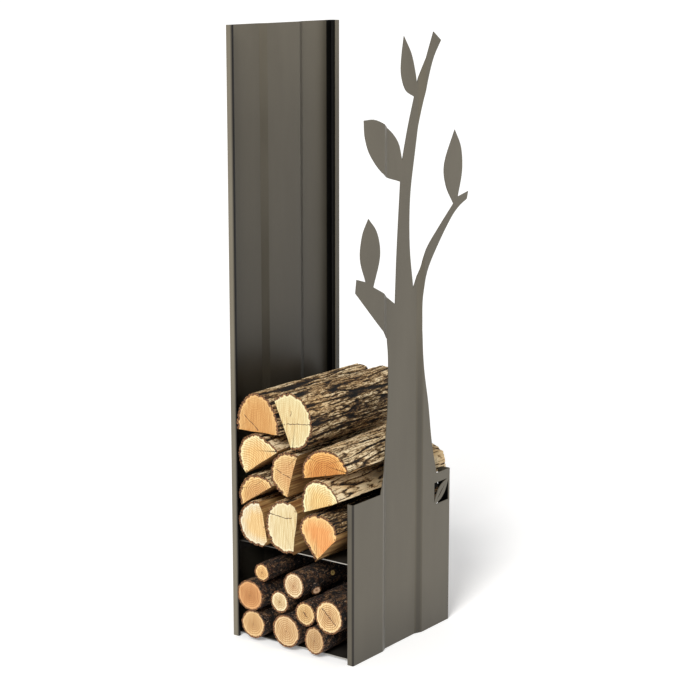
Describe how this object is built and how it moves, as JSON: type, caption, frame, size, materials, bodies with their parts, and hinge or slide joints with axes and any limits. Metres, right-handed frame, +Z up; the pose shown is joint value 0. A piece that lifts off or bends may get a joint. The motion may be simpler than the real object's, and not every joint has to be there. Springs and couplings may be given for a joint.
{
  "type": "firewood log rack",
  "caption": "Tall narrow log rack for indoors: one plain folded side panel, one cut as a tree with leaves, two shelves between them, stacked with split and round logs.",
  "frame": {"origin": "on the floor, below the middle of the bounding box", "axes": "+Z up, +X from the tall panel to the tree panel, -Y out of the open front where the log ends show"},
  "size_m": [0.32, 0.436, 1.3],
  "materials": {
    "tall_panel": "satin warm dark grey lacquer",
    "tree_panel": "satin warm dark grey lacquer",
    "base_shelf": "satin warm dark grey lacquer",
    "mid_shelf": "satin warm dark grey lacquer",
    "stud_base_tall_front": "zinc-plated steel",
    "stud_base_tall_rear": "zinc-plated steel",
    "stud_base_tree_front": "zinc-plated steel",
    "stud_base_tree_rear": "zinc-plated steel",
    "stud_mid_tall_front": "zinc-plated steel",
    "stud_mid_tall_rear": "zinc-plated steel",
    "stud_mid_tree_front": "zinc-plated steel",
    "stud_mid_tree_rear": "zinc-plated steel",
    "nut_base_tall_front": "zinc-plated steel",
    "nut_base_tall_rear": "zinc-plated steel",
    "nut_base_tree_front": "zinc-plated steel",
    "nut_base_tree_rear": "zinc-plated steel",
    "nut_mid_tall_front": "zinc-plated steel",
    "nut_mid_tall_rear": "zinc-plated steel",
    "nut_mid_tree_front": "zinc-plated steel",
    "nut_mid_tree_rear": "zinc-plated steel",
    "split_log_01": "raw split firewood with grey-brown bark",
    "split_log_02": "raw split firewood with grey-brown bark",
    "split_log_03": "raw split firewood with grey-brown bark",
    "split_log_04": "raw split firewood with grey-brown bark",
    "split_log_05": "raw split firewood with grey-brown bark",
    "split_log_06": "raw split firewood with grey-brown bark",
    "split_log_07": "raw split firewood with grey-brown bark",
    "split_log_08": "raw split firewood with grey-brown bark",
    "split_log_09": "raw split firewood with grey-brown bark",
    "split_log_10": "raw split firewood with grey-brown bark",
    "round_log_01": "raw round firewood with thin red-brown bark",
    "round_log_02": "raw round firewood with thin red-brown bark",
    "round_log_03": "raw round firewood with thin red-brown bark",
    "round_log_04": "raw round firewood with thin red-brown bark",
    "round_log_05": "raw round firewood with thin red-brown bark",
    "round_log_06": "raw round firewood with thin red-brown bark",
    "round_log_07": "raw round firewood with thin red-brown bark",
    "round_log_08": "raw round firewood with thin red-brown bark",
    "round_log_09": "raw round firewood with thin red-brown bark"
  },
  "bodies": {
    "rack": {"tall_panel": "tall_panel", "tree_panel": "tree_panel", "base_shelf": "base_shelf", "mid_shelf": "mid_shelf", "stud_base_tall_front": "stud_base_tall_front", "stud_base_tall_rear": "stud_base_tall_rear", "stud_base_tree_front": "stud_base_tree_front", "stud_base_tree_rear": "stud_base_tree_rear", "stud_mid_tall_front": "stud_mid_tall_front", "stud_mid_tall_rear": "stud_mid_tall_rear", "stud_mid_tree_front": "stud_mid_tree_front", "stud_mid_tree_rear": "stud_mid_tree_rear", "nut_base_tall_front": "nut_base_tall_front", "nut_base_tall_rear": "nut_base_tall_rear", "nut_base_tree_front": "nut_base_tree_front", "nut_base_tree_rear": "nut_base_tree_rear", "nut_mid_tall_front": "nut_mid_tall_front", "nut_mid_tall_rear": "nut_mid_tall_rear", "nut_mid_tree_front": "nut_mid_tree_front", "nut_mid_tree_rear": "nut_mid_tree_rear"},
    "split_log_01": {"split_log_01": "split_log_01"},
    "split_log_02": {"split_log_02": "split_log_02"},
    "split_log_03": {"split_log_03": "split_log_03"},
    "split_log_04": {"split_log_04": "split_log_04"},
    "split_log_05": {"split_log_05": "split_log_05"},
    "split_log_06": {"split_log_06": "split_log_06"},
    "split_log_07": {"split_log_07": "split_log_07"},
    "split_log_08": {"split_log_08": "split_log_08"},
    "split_log_09": {"split_log_09": "split_log_09"},
    "split_log_10": {"split_log_10": "split_log_10"},
    "round_log_01": {"round_log_01": "round_log_01"},
    "round_log_02": {"round_log_02": "round_log_02"},
    "round_log_03": {"round_log_03": "round_log_03"},
    "round_log_04": {"round_log_04": "round_log_04"},
    "round_log_05": {"round_log_05": "round_log_05"},
    "round_log_06": {"round_log_06": "round_log_06"},
    "round_log_07": {"round_log_07": "round_log_07"},
    "round_log_08": {"round_log_08": "round_log_08"},
    "round_log_09": {"round_log_09": "round_log_09"}
  },
  "joints": [
    {"name": "split_log_01_slide", "type": "slide", "parent": "rack", "child": "split_log_01", "axis": [0, -1, 0], "range_m": [0, 0.34]},
    {"name": "split_log_02_slide", "type": "slide", "parent": "rack", "child": "split_log_02", "axis": [0, -1, 0], "range_m": [0, 0.34]},
    {"name": "split_log_03_slide", "type": "slide", "parent": "rack", "child": "split_log_03", "axis": [0, -1, 0], "range_m": [0, 0.34]},
    {"name": "split_log_04_slide", "type": "slide", "parent": "rack", "child": "split_log_04", "axis": [0, -1, 0], "range_m": [0, 0.34]},
    {"name": "split_log_05_slide", "type": "slide", "parent": "rack", "child": "split_log_05", "axis": [-0.0262, -0.9997, 0], "range_m": [0, 0.34]},
    {"name": "split_log_06_slide", "type": "slide", "parent": "rack", "child": "split_log_06", "axis": [0, -1, 0], "range_m": [0, 0.34]},
    {"name": "split_log_07_slide", "type": "slide", "parent": "rack", "child": "split_log_07", "axis": [0, -1, 0], "range_m": [0, 0.34]},
    {"name": "split_log_08_slide", "type": "slide", "parent": "rack", "child": "split_log_08", "axis": [0.0523, -0.9986, 0], "range_m": [0, 0.34]},
    {"name": "split_log_09_slide", "type": "slide", "parent": "rack", "child": "split_log_09", "axis": [0, -1, 0], "range_m": [0, 0.34]},
    {"name": "split_log_10_slide", "type": "slide", "parent": "rack", "child": "split_log_10", "axis": [0, -1, 0], "range_m": [0, 0.34]},
    {"name": "round_log_01_slide", "type": "slide", "parent": "rack", "child": "round_log_01", "axis": [0, -1, 0], "range_m": [0, 0.34]},
    {"name": "round_log_02_slide", "type": "slide", "parent": "rack", "child": "round_log_02", "axis": [0, -1, 0], "range_m": [0, 0.34]},
    {"name": "round_log_03_slide", "type": "slide", "parent": "rack", "child": "round_log_03", "axis": [0, -1, 0], "range_m": [0, 0.34]},
    {"name": "round_log_04_slide", "type": "slide", "parent": "rack", "child": "round_log_04", "axis": [0, -1, 0], "range_m": [0, 0.34]},
    {"name": "round_log_05_slide", "type": "slide", "parent": "rack", "child": "round_log_05", "axis": [0, -1, 0], "range_m": [0, 0.34]},
    {"name": "round_log_06_slide", "type": "slide", "parent": "rack", "child": "round_log_06", "axis": [0, -1, 0], "range_m": [0, 0.34]},
    {"name": "round_log_07_slide", "type": "slide", "parent": "rack", "child": "round_log_07", "axis": [0, -1, 0], "range_m": [0, 0.34]},
    {"name": "round_log_08_slide", "type": "slide", "parent": "rack", "child": "round_log_08", "axis": [0, -1, 0], "range_m": [0, 0.34]},
    {"name": "round_log_09_slide", "type": "slide", "parent": "rack", "child": "round_log_09", "axis": [0, -1, 0], "range_m": [0, 0.34]}
  ]
}
